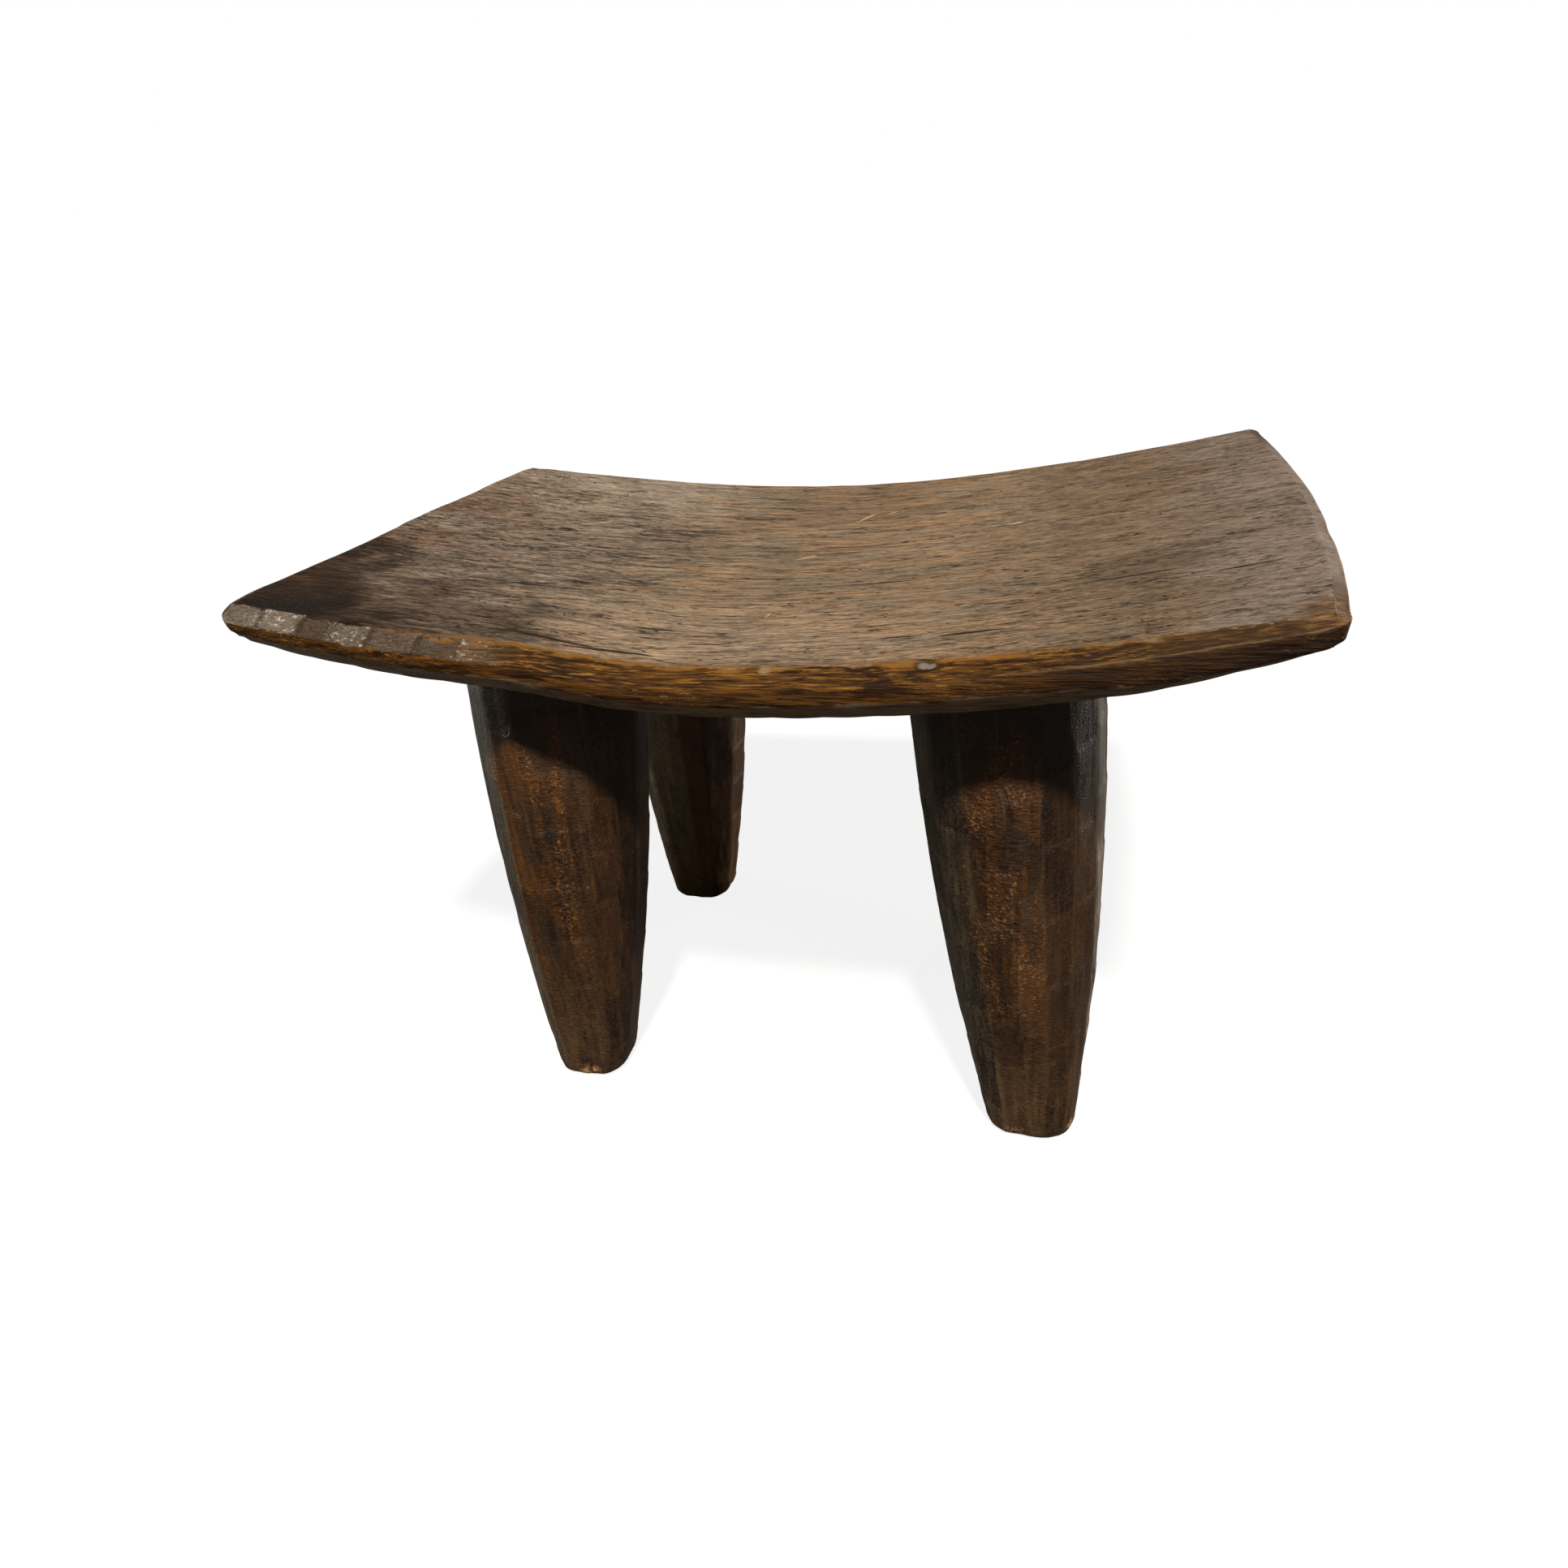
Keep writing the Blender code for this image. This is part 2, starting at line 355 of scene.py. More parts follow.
def hewn_slab():
    """The slab with its facets, ripples, dents and worn corners."""
    points, quads, girth, on_end = slab_shape()
    normals = vertex_normals(points, quads)
    x, y = points[:, 0], points[:, 1]
    on_top = smooth(0.3, -0.6, girth)
    on_bottom = smooth(2.6, 3.4, girth)
    on_chamfer = smooth(-0.15, 0.15, girth) * (1 - smooth(0.85, 1.1, girth))
    on_side = smooth(0.9, 1.1, girth) * (1 - smooth(2.8, 3.1, girth))

    def uneven(waves, seed, octaves=3):
        height, size = waves
        return height * layered_noise(points, size, seed, octaves)

    # the sitting face: broad waves, and ripples along the grain, stronger at the left
    push = on_top * uneven(TOP_WAVES, 11)
    push += on_top * (0.4 + 0.6 * smooth(0.05, -0.2, x)) * uneven(TOP_RIPPLES, 21, 2)

    # the front chamfer: separate adze cuts at the left, softer ones further along
    borders, tilts = np.array(CUT_BORDERS), np.array(CUT_TILTS)
    slanted = x + CUT_BORDER_SLANT * np.sin(girth * 2.0)
    cut = np.clip(np.searchsorted(borders, slanted) - 1, 0, len(tilts) - 1)
    cut_length = borders[cut + 1] - borders[cut]
    share = (x - borders[cut]) / cut_length
    front = y < 0
    fade = CUT_FADE + (1 - CUT_FADE) * smooth(-0.10, -0.16, x)
    hollow = tilts[cut] * (share - 0.5) - CUT_HOLLOW * 4 * share * (1 - share)
    push += CUT_DEPTH * hollow * on_chamfer * front * fade
    ended = smooth(0.93, 0.985, np.abs(x - SHIFT_X) / (SEAT_LENGTH / 2))
    push += on_chamfer * (1 - ended) * uneven(CHAMFER_WAVES, 31)

    # the side faces and the ends: longer strokes and a broken lower edge
    push += on_side * (1 - ended) * uneven(SIDE_WAVES, 41)
    push += on_end * uneven(END_WAVES, 51, 2)

    # the underside: plain scooped adze rows
    row_height, row_width = BOTTOM_ROWS
    rows = np.sin(x / row_width * math.pi + 1.5 * lattice_noise(points, (0.2, 0.05, 0.2), 61))
    push += on_bottom * (row_height * np.abs(rows) + uneven(BOTTOM_WAVES, 63))

    points = dented(points + normals * push[:, None], normals, SLAB_DENTS)
    seam = np.exp(-((np.minimum(share, 1 - share) * cut_length / SEAM_WIDTH) ** 2))
    tags = {
        "girth": girth,
        "cut": np.where(front, 0.5 + 0.5 * np.sin(cut * 2.4), 0.5),
        "seam": seam * on_chamfer * front,
    }
    return points, quads.tolist(), tags


LEG_DENTS = {  # in the same way
    "leg_front_left": (
        ((-0.130, -0.149, 0.287), 0.007, 0.0018),
        ((-0.166, -0.139, 0.267), 0.004, 0.0012),
        ((-0.144, -0.132, 0.010), 0.006, 0.0014),
        ((-0.116, -0.145, 0.204), 0.016, 0.0012),
    ),
    "leg_front_right": (
        ((0.158, -0.145, 0.190), 0.014, 0.0020),
        ((0.169, -0.137, 0.150), 0.018, 0.0014),
        ((0.129, -0.149, 0.180), 0.013, 0.0012),
        ((0.140, -0.135, 0.008), 0.005, 0.0010),
    ),
    "leg_back_left": (((-0.118, 0.150, 0.20), 0.015, 0.0015),),
    "leg_back_right": (((0.160, 0.148, 0.17), 0.016, 0.0016),),
}


# ---------------------------------------------------------------- the legs' form
# Where round each leg its wood is rubbed to orange, tinted olive with painted light on the facets facing
# left, or weathered pale with painted sheen: the middle direction and the reach to each side, in degrees. A
# reach of 1 leaves next to nothing.
LEG_ZONES = {
    "leg_front_left": {"rubbed": (262, 34), "olive": (200, 48), "pale": (20, 1)},
    "leg_front_right": {"rubbed": (266, 30), "olive": (202, 48), "pale": (350, 13)},
    "leg_back_left": {"rubbed": (90, 45), "olive": (225, 60), "pale": (20, 1)},
    "leg_back_right": {"rubbed": (80, 60), "olive": (130, 40), "pale": (5, 1)},
}


SWAY = 2.5  # how far a border between facets may wander, in degrees
STROKE_LENGTH = (0.030, 0.055)
STROKE_DEPTH = (0.0003, 0.0008)
ARRIS = (0.0005, 0.0015)  # how far a border between facets is worn down, and how widely
CREST_WIDTH = 0.0012  # of the lighter wood along those borders, worn and with a painted highlight
LEG_WAVES = (0.00030, (0.016, 0.016, 0.050))
LEG_ROUGHNESS = (0.00022, (0.005, 0.005, 0.012))
TONES_PER_FACET = 12
# painted light: the back legs get a lighter tone in place of light that reaches them
BACK_LEG_PAINTED_LIGHT = 0.25


def leg_rows():
    """Per row of a leg's skin: its share of the height, and how far it is drawn to the centre."""
    drawn = np.arange(1, SOLE_ROWS + 1) / (SOLE_ROWS + 1)
    foot = np.linspace(0, FOOT_ROUND / LEG_LEVEL, 7)[:-1]
    wall = np.linspace(FOOT_ROUND / LEG_LEVEL, 1, LEG_ROWS)
    share = np.concatenate([0 * drawn, foot, wall, 0 * drawn + 1])
    drawing = np.concatenate([drawn, 0 * foot + 1, 0 * wall + 1, drawn[::-1]])
    return share[:, None], drawing[:, None]


def hewn_leg(name, seed):
    """One leg with flat hewn facets, a rounded sole and a fillet into the slab."""
    rng = np.random.default_rng(seed)
    corners = np.array(FACET_CORNERS[name], float)
    facets = len(corners)
    sway = rng.uniform(-SWAY, SWAY, facets)
    stroke_length = rng.uniform(*STROKE_LENGTH, facets)
    stroke_start = rng.uniform(0, 1, facets)
    stroke_depth = rng.uniform(*STROKE_DEPTH, facets)
    tones = 0.65 * rng.uniform(0, 1, (facets, 1))
    tones = tones + 0.35 * rng.uniform(0, 1, (facets, TONES_PER_FACET))
    # painted light: a lighter tone on the back legs
    tones += BACK_LEG_PAINTED_LIGHT if "back" in name else 0.0

    spans = np.diff(np.append(corners, corners[0] + 360))
    counts = np.maximum(np.round(spans / 360 * LEG_COLUMNS).astype(int), 3)
    facet = np.repeat(np.arange(facets), counts)
    place = np.concatenate([np.arange(n) / n for n in counts])
    share, drawing = leg_rows()

    foot = FEET[name]
    upper, foot_radius = LEGS[name]
    level = share * (underside(*upper) + SINK)
    k = level / LEG_LEVEL
    centre_x = foot[0] + (upper[0] - foot[0]) * k
    centre_y = foot[1] + (upper[1] - foot[1]) * k
    radius = foot_radius + (UPPER_RADIUS - foot_radius) * k + SWELL * 4 * k * (1 - k)

    # the corners between facets wander a little as they climb
    turn = corners + sway * (share - 0.4) * 2
    following = np.append(turn[:, 1:], turn[:, :1] + 360, axis=1)
    start, end = turn[:, facet], following[:, facet]
    angle = np.radians(start + (end - start) * place)
    half = np.radians(end - start) / 2
    flat = radius * np.cos(half) / np.cos(angle - np.radians(start + end) / 2)
    across = np.minimum(place, 1 - place) * 2 * half * radius
    squared = FOOT_SQUARE * smooth(SQUARE_HEIGHT, 0.0, level)
    worn_down, wear_width = ARRIS
    flat = flat * (1 - squared * np.cos(4 * angle))
    flat = flat - worn_down * np.exp(-((across / wear_width) ** 2))

    # each facet was cut in several strokes, which leave faint steps
    stroke = level / stroke_length[facet] + stroke_start[facet]
    bite = stroke_depth[facet] * (stroke - np.floor(stroke) - 0.5)
    flat = flat + bite * np.minimum(across / 0.003, 1.0)
    rise = np.clip(1 - level / FOOT_ROUND, 0, 1)
    flat = (flat - FOOT_ROUND * (1 - np.sqrt(1 - rise**2))) * drawing

    x = centre_x + flat * np.cos(angle)
    y = centre_y + flat * np.sin(angle)
    ceiling = underside(x, y) + SINK
    z = share * ceiling
    climb = np.clip((z - (ceiling - SINK - FILLET)) / FILLET, 0, 0.995)
    flare = FILLET * (1 - np.sqrt(1 - climb**2)) * drawing
    x, y = x + flare * np.cos(angle), y + flare * np.sin(angle)

    points = np.stack([x, y, z + 0 * x], -1).reshape(-1, 3)
    columns = len(facet)
    rows = len(share)
    here = np.arange((rows - 1) * columns).reshape(rows - 1, columns)
    there = np.roll(here, -1, axis=1)
    quads = np.stack([here, there, there + columns, here + columns], -1).reshape(-1, 4)
    faces = quads.tolist()
    faces.append(list(range(columns - 1, -1, -1)))
    faces.append(list(range(len(points) - columns, len(points))))

    normals = vertex_normals(points, quads)
    wall = smooth(0.0015, 0.006, points[:, 2])
    push = LEG_WAVES[0] * layered_noise(points, LEG_WAVES[1], seed + 5)
    push += LEG_ROUGHNESS[0] * layered_noise(points, LEG_ROUGHNESS[1], seed + 9, 2)
    points = dented(points + normals * (push * wall)[:, None], normals, LEG_DENTS[name])
    tone = tones[facet, stroke.astype(int) % TONES_PER_FACET]
    turned = np.degrees(angle) + 0 * tone
    tags = {"tone": tone, "crest": np.exp(-((across / CREST_WIDTH) ** 2)) + 0 * tone}
    for tag in LEG_ZONES[name]:
        middle, reach = LEG_ZONES[name][tag]
        apart = np.abs((turned - middle + 180) % 360 - 180)
        tags[tag] = smooth(reach, reach - min(reach, 9) * 0.5, apart)
    return points, faces, {tag: values.ravel() for tag, values in tags.items()}


# ---------------------------------------------------------------- wood
MARK_DEPTH = 0.02  # a crack or scratch shows this far above and below its centre


class Wood:
    """A material under construction, with short names for the nodes it needs."""

    def __init__(self, name):
        self.material = bpy.data.materials.new(name)
        self.material.use_nodes = True
        self.tree = self.material.node_tree
        self.shader = self.tree.nodes["Principled BSDF"]
        self.place = self.tree.nodes.new("ShaderNodeTexCoord").outputs["Object"]

    def put(self, socket, value):
        if isinstance(value, bpy.types.NodeSocket):
            self.tree.links.new(value, socket)
        elif isinstance(value, (tuple, list)) and len(value) == 3 and socket.type == "RGBA":
            socket.default_value = (*value, 1.0)
        else:
            socket.default_value = value

    def math(self, operation, a, b=0.0, clamp=False, low=None):
        node = self.tree.nodes.new("ShaderNodeMath")
        node.operation = operation
        node.use_clamp = clamp
        self.put(node.inputs[0], a)
        self.put(node.inputs[1], b)
        return node.outputs[0] if low is None else self.math("MAXIMUM", node.outputs[0], low)

    def tag(self, name):
        node = self.tree.nodes.new("ShaderNodeAttribute")
        node.attribute_name = name
        return node.outputs["Fac"]

    def axis(self, name):
        node = self.tree.nodes.new("ShaderNodeSeparateXYZ")
        self.put(node.inputs[0], self.place)
        return node.outputs[name]

    def noise(self, size, shift=0.0, detail=3.0, roughness=0.6, bend=0.0):
        """Noise whose features are about size metres along each axis."""
        spread = self.tree.nodes.new("ShaderNodeMapping")
        spread.inputs["Location"].default_value = (shift, shift * 1.7, shift * 0.6)
        spread.inputs["Scale"].default_value = tuple(1 / s for s in size)
        self.put(spread.inputs["Vector"], self.place)
        node = self.tree.nodes.new("ShaderNodeTexNoise")
        node.inputs["Scale"].default_value = 1.0
        node.inputs["Detail"].default_value = detail
        node.inputs["Roughness"].default_value = roughness
        node.inputs["Distortion"].default_value = bend
        self.put(node.inputs["Vector"], spread.outputs[0])
        return node.outputs["Fac"]

    def step(self, value, low, high):
        """A soft step from 0 at low to 1 at high; high may be the lower one."""
        node = self.tree.nodes.new("ShaderNodeMapRange")
        node.interpolation_type = "SMOOTHSTEP"
        turned = high < low
        self.put(node.inputs["Value"], value)
        node.inputs["From Min"].default_value = min(low, high)
        node.inputs["From Max"].default_value = max(low, high)
        node.inputs["To Min"].default_value = 1.0 if turned else 0.0
        node.inputs["To Max"].default_value = 0.0 if turned else 1.0
        return node.outputs[0]

    def blend(self, factor, a, b, mode="MIX", clamp=True):
        node = self.tree.nodes.new("ShaderNodeMix")
        node.clamp_factor = clamp
        node.data_type = "RGBA"
        node.blend_type = mode
        self.put(node.inputs[0], factor)
        self.put(node.inputs[6], a)
        self.put(node.inputs[7], b)
        return node.outputs[2]

    def over(self, under, cover, *shares):
        """The colour or normal under, covered by cover with the product of the shares."""
        return self.blend(self.times(*shares), under, cover)

    def plus(self, a, b):
        return self.math("ADD", a, b)

    def centred(self, noise):
        """A noise about 0 in place of 0.5."""
        return self.math("SUBTRACT", noise, 0.5)

    def swing(self, *parts):
        """The sum of noises about their middle, each with its strength."""
        total = 0.0
        for noise, strength in parts:
            total = self.plus(total, self.times(self.centred(noise), strength))
        return total

    def times(self, *factors):
        total = factors[0]
        for factor in factors[1:]:
            total = self.math("MULTIPLY", total, factor)
        return total

    def most(self, *values):
        total = values[0]
        for value in values[1:]:
            total = self.math("MAXIMUM", total, value)
        return total

    def mark(self, centre, turn, length, width, ragged):
        """A spindle-shaped mark on the wood: 1 at its centre line, fading to its edges.

        centre is in metres and turn in degrees about Z; ragged adds to its width.
        """
        local = self.tree.nodes.new("ShaderNodeMapping")
        local.vector_type = "TEXTURE"
        local.inputs["Location"].default_value = centre
        local.inputs["Rotation"].default_value = (0, 0, math.radians(turn))
        local.inputs["Scale"].default_value = (length / 2, width / 2, MARK_DEPTH)
        self.put(local.inputs["Vector"], self.place)
        parts = self.tree.nodes.new("ShaderNodeSeparateXYZ")
        self.put(parts.inputs[0], local.outputs[0])
        along = self.math("ABSOLUTE", parts.outputs["X"])
        across = self.math("ABSOLUTE", self.plus(parts.outputs["Y"], ragged))
        deep = self.math("ABSOLUTE", parts.outputs["Z"])
        room = self.math("SUBTRACT", 1.0, self.math("POWER", along, 2.0), clamp=True)
        inside = self.math("SUBTRACT", room, across, clamp=True)
        return self.math("MULTIPLY", inside, self.step(deep, 1.0, 0.8))

    def spot(self, centre, radius):
        """1 at a point, fading to 0 at radius."""
        node = self.tree.nodes.new("ShaderNodeVectorMath")
        node.operation = "DISTANCE"
        self.put(node.inputs[0], self.place)
        node.inputs[1].default_value = centre
        return self.step(node.outputs["Value"], radius, radius * 0.4)

    def bump(self, height, distance, under=None):
        node = self.tree.nodes.new("ShaderNodeBump")
        node.inputs["Distance"].default_value = distance
        node.inputs["Strength"].default_value = 1.0
        self.put(node.inputs["Height"], height)
        if under is not None:
            self.put(node.inputs["Normal"], under)
        return node.outputs[0]

    def finish(self, colour, roughness, normal, specular):
        self.put(self.shader.inputs["Base Color"], colour)
        self.put(self.shader.inputs["Roughness"], roughness)
        self.put(self.shader.inputs["Normal"], normal)
        self.shader.inputs["Specular IOR Level"].default_value = specular
        return self.material


# Colours in linear RGB. First the sitting face.
TAUPE = (0.250, 0.182, 0.116)
TAN = (0.290, 0.182, 0.100)
WARM_TAN = (0.300, 0.180, 0.092)
# painted sheen: the back left of the top lighter and greyer
BACK_LEFT_PAINTED_SHEEN = (0.335, 0.262, 0.190)
RIGHT_BROWN = (0.205, 0.132, 0.080)
PALE_FRONT = (0.345, 0.240, 0.152)
# greyer wood at the right end, with painted sheen in it
RIGHT_END_GREY_AND_SHEEN = (0.238, 0.178, 0.134)
BAND_BROWN = (0.125, 0.080, 0.048)
BACK_BROWN = (0.205, 0.124, 0.066)
LEFT_BROWN = (0.178, 0.131, 0.094)
# the darker front left of the top: stain and painted shade
FRONT_LEFT_STAIN_AND_SHADE = (0.088, 0.056, 0.035)
RUSSET = (0.130, 0.060, 0.032)
# the dark of the front left corner: handling stain and painted shade
STAIN_AND_SHADE_BLACK = (0.013, 0.005, 0.001)
STAIN_AND_SHADE_BROWN = (0.040, 0.017, 0.006)
STAIN_AND_SHADE_STREAK = (0.125, 0.062, 0.022)
STAIN_AND_SHADE_DARKEST = (0.007, 0.003, 0.001)
GRAIN_DARK = (0.016, 0.007, 0.003)
FISSURE = (0.016, 0.009, 0.005)
SCRATCH = (0.820, 0.570, 0.320)

# The chamfer and its adze cuts
AMBER_DARK = (0.026, 0.009, 0.001)
AMBER = (0.138, 0.053, 0.005)
# bright amber strands: lighter fibres with painted golden glints
AMBER_FIBRE_AND_GLINT = (0.400, 0.180, 0.026)
AMBER_GAP = (0.018, 0.006, 0.001)
AMBER_LINE = (0.270, 0.115, 0.016)
CUT_BROWN = (0.096, 0.064, 0.041)
# bare wood of the adze cuts, lightened with painted sheen
CUT_PALE_AND_SHEEN = (0.240, 0.186, 0.136)
CUT_PORE = (0.045, 0.026, 0.013)
CUT_STAIN = (0.034, 0.016, 0.006)
CUT_SEAM = (0.030, 0.015, 0.007)
CUT_GLINT = (0.640, 0.560, 0.470)
CHAMFER_STAIN = (0.060, 0.029, 0.011)
NICK_RIM = (0.022, 0.010, 0.004)
# painted reflection: the wax gleam in the nick
NICK_PAINTED_GLEAM = (0.280, 0.215, 0.165)
DENT_BARE = (0.340, 0.230, 0.120)

# The ends, the side faces and the underside
END_GREY = (0.200, 0.145, 0.098)
END_DARK = (0.075, 0.036, 0.014)
WORN_BROWN = (0.075, 0.034, 0.012)
WORN_PALE = (0.300, 0.150, 0.050)
SIDE_DARK = (0.032, 0.011, 0.002)
SIDE_BROWN = (0.210, 0.082, 0.011)
SIDE_STAIN = (0.026, 0.011, 0.004)
# painted glints on the side face
GLINT_FLECK = (0.480, 0.270, 0.085)
# the worn ridge, lightened with a painted highlight
RIDGE_WORN_AND_LIT = (0.350, 0.215, 0.110)
UNDER_PALE = (0.300, 0.215, 0.140)
UNDER_BROWN = (0.180, 0.118, 0.070)
UNDER_GAP = (0.022, 0.012, 0.006)

# The legs
LEG_RED = (0.046, 0.018, 0.005)
LEG_BROWN = (0.054, 0.029, 0.011)
# olive on the facets facing left: the wood's tint, and painted light from the left
LEG_OLIVE_AND_SIDE_LIGHT = (0.102, 0.080, 0.046)
LEG_RUBBED = (0.098, 0.034, 0.005)
LEG_DARK = (0.034, 0.017, 0.006)
LEG_DARKEST = (0.006, 0.002, 0.001)
FOOT_BROWN = (0.082, 0.043, 0.018)
# a pale strip on a leg: weathered wood, lightened with painted sheen
WEATHERED_AND_SHEEN_BROWN = (0.120, 0.084, 0.056)
WEATHERED_AND_SHEEN_PALE = (0.330, 0.255, 0.185)
# lighter crests between facets: wear and a painted highlight
CREST_WEAR_AND_HIGHLIGHT = (0.130, 0.070, 0.030)
# specks of crackled varnish, painted partly as glints
SPECK_AND_GLINT = (0.360, 0.180, 0.055)
CHIP = (0.560, 0.310, 0.120)
BLACK = (0.0, 0.0, 0.0)

CRACKS = (  # centre, turn in degrees, length and width in metres
    ((-0.097, -0.160, 0.335), -6, 0.066, 0.0030),
    ((-0.060, -0.165, 0.332), -2, 0.050, 0.0035),
    ((-0.048, -0.132, 0.332), 0, 0.030, 0.0022),
    ((-0.016, -0.148, 0.332), 1, 0.026, 0.0019),
    ((0.121, -0.151, 0.341), 3, 0.034, 0.0030),
    ((0.084, -0.149, 0.337), 2, 0.022, 0.0019),
    ((0.191, -0.094, 0.350), 5, 0.060, 0.0024),
    ((0.246, -0.104, 0.360), 3, 0.034, 0.0024),
    ((0.062, -0.062, 0.334), 4, 0.050, 0.0022),
    ((-0.146, -0.083, 0.340), -3, 0.030, 0.0022),
    ((-0.178, 0.032, 0.344), -2, 0.018, 0.0027),
    ((0.023, 0.015, 0.332), 3, 0.040, 0.0019),
)
SCRATCHES = (  # in the same way
    ((0.022, 0.082, 0.332), 62, 0.030, 0.0021),
    ((0.039, 0.091, 0.333), 50, 0.010, 0.0023),
    ((0.001, -0.004, 0.332), 38, 0.018, 0.0023),
    ((0.126, 0.036, 0.341), 5, 0.014, 0.0026),
    ((0.006, -0.106, 0.332), 80, 0.010, 0.0018),
    ((-0.163, 0.051, 0.342), 30, 0.030, 0.0013),
)

# Small marks on the front chamfer and at the right front corner: a centre and a radius
NICK_SPOTS = (((0.103, -0.183, 0.337), 0.0036), ((0.1065, -0.1835, 0.337), 0.0030))
NICK_RIM_SPOT = ((0.104, -0.1835, 0.338), 0.0078)
DENT_SPOT = ((0.026, -0.181, 0.332), 0.0042)
WORN_CORNER_SPOT = ((0.274, -0.178, 0.361), 0.022)

# Chips at the feet of the front legs, in the same way
CHIP_SPOTS = (
    ((-0.147, -0.133, 0.004), 0.011),
    ((0.141, -0.136, 0.004), 0.009),
    ((-0.119, -0.127, 0.010), 0.007),
    ((0.172, -0.124, 0.009), 0.006),
)


def slab_grain(w):
    """The slab's places and the noises that several of its parts share."""
    x, y = w.axis("X"), w.axis("Y")
    patches = w.noise((0.090, 0.045, 0.045), 3.3, 4.0, 0.6, 0.8)
    off = w.centred(patches)
    reach = w.plus(w.times(off, 0.16), x)  # x, unevenly shifted so that borders are soft
    near = w.plus(w.times(off, 0.12), y)  # y in the same way
    return SimpleNamespace(
        girth=w.tag("girth"),
        x=x,
        y=y,
        off=off,
        reach=reach,
        near=near,
        left=w.times(w.step(reach, -0.03, -0.15), w.step(near, 0.15, 0.0)),
        patches=patches,
        pores=w.noise((0.0040, 0.0007, 0.0007), 1.3, 3.0, 0.62),
        fibres=w.noise((0.026, 0.0013, 0.0013), 5.1, 4.0, 0.62, 0.25),
        bands=w.noise((0.095, 0.0042, 0.0042), 9.7, 4.0, 0.62, 0.4),
        tints=w.noise((0.060, 0.022, 0.022), 14.2, 4.0, 0.65, 0.8),
        wear=w.noise((0.034, 0.0042, 0.0042), 50.0, 5.0, 0.68, 0.3),
        strands=w.noise((0.026, 0.0014, 0.0014), 55.0, 4.0, 0.65, 0.2),
    )


def sitting_face(w, g):
    """Taupe, greyer at the back left and the right end, browner before it, dark at the left; the grey at
    the back left is painted sheen, that at the right end partly so, and the dark at the left is partly
    painted shade.
    """
    x, near, reach, tints = g.x, g.near, g.reach, g.tints
    top = w.blend(w.step(tints, 0.38, 0.62), TAUPE, TAN)
    place = w.times(w.step(near, -0.05, 0.06), w.step(reach, -0.17, -0.08), w.step(x, 0.24, 0.10))
    warm = w.times(w.step(tints, 0.47, 0.60), w.plus(0.03, w.times(place, 0.42)))
    top = w.over(top, WARM_TAN, warm)
    # painted sheen greys and lightens the back left
    top = w.over(top, BACK_LEFT_PAINTED_SHEEN, w.step(reach, -0.04, -0.14), w.step(near, 0.02, 0.12), 0.85)
    top = w.over(top, RIGHT_BROWN, w.step(reach, 0.11, 0.18), 0.75)
    place = w.times(w.step(near, -0.06, -0.14), w.step(reach, 0.14, 0.02), w.step(reach, -0.10, -0.04))
    top = w.over(top, PALE_FRONT, place, 0.7)
    # the right end: greyer wood and painted sheen
    top = w.over(top, RIGHT_END_GREY_AND_SHEEN, w.step(reach, 0.20, 0.25), 0.75)
    place = w.times(w.step(near, -0.03, -0.07), w.step(near, -0.15, -0.11), w.step(reach, 0.15, 0.19))
    top = w.over(top, BAND_BROWN, place, 0.55, w.step(reach, 0.25, 0.22))
    place = w.times(w.step(near, 0.05, 0.09), w.step(reach, -0.07, -0.03), w.step(reach, 0.11, 0.05))
    top = w.over(top, BACK_BROWN, place, 0.45)
    # darker over the left part, more so at the front left: partly the wood's colour, partly painted shade
    # where the top catches no sheen
    top = w.over(top, LEFT_BROWN, g.left, 0.82)
    top = w.over(top, FRONT_LEFT_STAIN_AND_SHADE, w.step(near, -0.09, -0.125), w.step(reach, -0.070, -0.120), 0.80)
    place = w.times(w.step(reach, -0.17, -0.26), w.step(tints, 0.42, 0.56), w.step(near, -0.10, 0.0))
    return w.over(top, RUSSET, place, 0.6)


def stain_and_shade_front_left(w, g, top):
    """The top, darkened towards the front left corner by handling stain and by painted shade."""
    aslant = w.plus(w.plus(g.x, w.times(w.plus(g.y, 0.17), 0.65)), w.times(g.off, 0.12))
    stained_and_shaded = w.blend(w.step(g.bands, 0.42, 0.60), STAIN_AND_SHADE_BLACK, STAIN_AND_SHADE_BROWN)
    stained_and_shaded = w.over(stained_and_shaded, STAIN_AND_SHADE_STREAK, w.step(g.fibres, 0.56, 0.66), 0.65)
    top = w.over(top, stained_and_shaded, w.step(aslant, -0.150, -0.215), 0.95)
    darkest = w.times(w.step(g.near, -0.120, -0.155), w.step(g.reach, -0.180, -0.225))
    return w.over(top, STAIN_AND_SHADE_DARKEST, darkest, 0.85)


def grained(w, g, top):
    """The top, darkened and lightened by its grain, the more so at the left, where the extra lightening is
    also painted highlight on the ripple crests.
    """
    shade = w.swing((g.fibres, 3.3), (g.pores, 2.8), (g.bands, 1.7), (g.tints, 0.5), (g.patches, 0.8))
    # stronger at the left: grain, and painted highlight on the ripple crests
    strength = w.plus(1.0, w.times(g.left, 0.8))
    shade = w.math("ADD", 1.0, w.times(shade, strength), low=0.10)
    return w.blend(shade, GRAIN_DARK, top, clamp=False)


